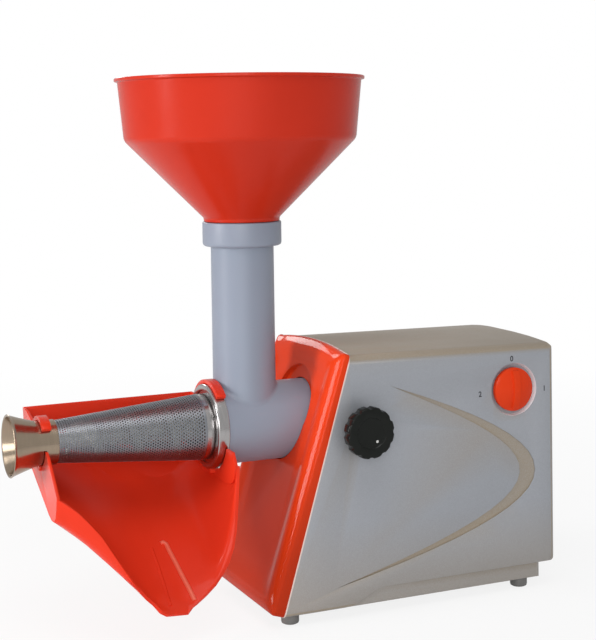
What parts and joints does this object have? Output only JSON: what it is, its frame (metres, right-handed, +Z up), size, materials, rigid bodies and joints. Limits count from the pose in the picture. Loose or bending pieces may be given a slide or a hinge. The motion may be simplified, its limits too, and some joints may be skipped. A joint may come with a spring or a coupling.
{
  "type": "electric tomato press",
  "caption": "Electric tomato press: a geared motor turns an auger that pushes fruit from a round hopper through a conical sieve above a splash tray.",
  "frame": {"origin": "on the table, under the middle of the overall box", "axes": "+X back along the press axis, away from the waste mouth; +Y across, away from the switch side; +Z up"},
  "size_m": [0.443, 0.198, 0.4235],
  "materials": {
    "red_gloss": "glossy moulded plastic",
    "red_satin": "satin moulded plastic",
    "silver_plastic": "silver painted plastic",
    "grey_plastic": "satin blue-grey plastic",
    "black_plastic": "satin black plastic",
    "pale_trim": "pale soft plastic",
    "white_plastic": "natural nylon",
    "steel": "polished stainless steel",
    "zinc_steel": "zinc-plated steel",
    "brass": "machined brass",
    "copper": "copper",
    "lamination": "stacked steel laminations",
    "rubber": "soft rubber"
  },
  "bodies": {
    "machine": {"housing": "silver_plastic", "front_bezel": "red_gloss", "seam_trim": "pale_trim", "base_pan": "silver_plastic", "rubber_feet": "rubber", "base_screws": "zinc_steel", "cord_inlet": "rubber", "switch_block": "black_plastic", "hub_socket": "black_plastic", "gear_plate_front": "zinc_steel", "gear_plate_rear": "zinc_steel", "gear_pillars": "zinc_steel", "output_bushes": "brass", "motor_stator": "lamination", "motor_frames": "zinc_steel", "brush_holders": "brass", "clamp_insert": "brass", "press_body": "grey_plastic", "shaft_seal": "rubber", "sieve_flange": "steel", "sieve_cone": "steel", "waste_mouth": "steel", "splash_tray": "red_satin"},
    "hopper": {"hopper": "red_satin"},
    "auger": {"auger": "white_plastic", "output_shaft": "zinc_steel", "output_gear": "white_plastic"},
    "idler": {"idler_shaft": "zinc_steel", "idler_gear": "white_plastic", "idler_pinion": "zinc_steel"},
    "rotor": {"armature_shaft": "zinc_steel", "armature_core": "lamination", "commutator": "copper", "cooling_fan": "white_plastic", "motor_pinion": "brass"},
    "switch": {"switch_knob": "red_gloss", "switch_spindle": "zinc_steel"},
    "clamp_slider": {"clamp_pad": "brass"},
    "clamp_screw": {"clamp_stud": "zinc_steel", "clamp_knob": "black_plastic"}
  },
  "joints": [
    {"name": "hopper_lift", "type": "slide", "parent": "machine", "child": "hopper", "axis": [0, 0, 1], "range_m": [0, 0.06]},
    {"name": "rotor_spin", "type": "hinge", "parent": "machine", "child": "rotor", "pos_m": [0.11905, 0, 0.0675], "axis": [1, 0, 0], "continuous": true},
    {"name": "idler_spin", "type": "hinge", "parent": "machine", "child": "idler", "pos_m": [0.07905, 0, 0.1035], "axis": [1, 0, 0], "continuous": true},
    {"name": "auger_spin", "type": "hinge", "parent": "machine", "child": "auger", "pos_m": [-0.03095, 0, 0.1485], "axis": [1, 0, 0], "continuous": true},
    {"name": "switch_turn", "type": "hinge", "parent": "machine", "child": "switch", "pos_m": [0.17955, -0.0655, 0.167], "axis": [0, -1, 0], "range_deg": [-90, 90]},
    {"name": "clamp_travel", "type": "slide", "parent": "machine", "child": "clamp_slider", "axis": [0, -1, 0], "range_m": [0, 0.005]},
    {"name": "clamp_turn", "type": "hinge", "parent": "clamp_slider", "child": "clamp_screw", "pos_m": [0.03855, -0.0655, 0.1485], "axis": [0, -1, 0], "range_deg": [0, 1441]}
  ],
  "couplings": [
    {"joint": "idler_spin", "follows": "rotor_spin", "ratio": -0.2},
    {"joint": "auger_spin", "follows": "rotor_spin", "ratio": 0.04},
    {"joint": "clamp_turn", "follows": "clamp_travel", "rad_per_m": 5026.5}
  ]
}
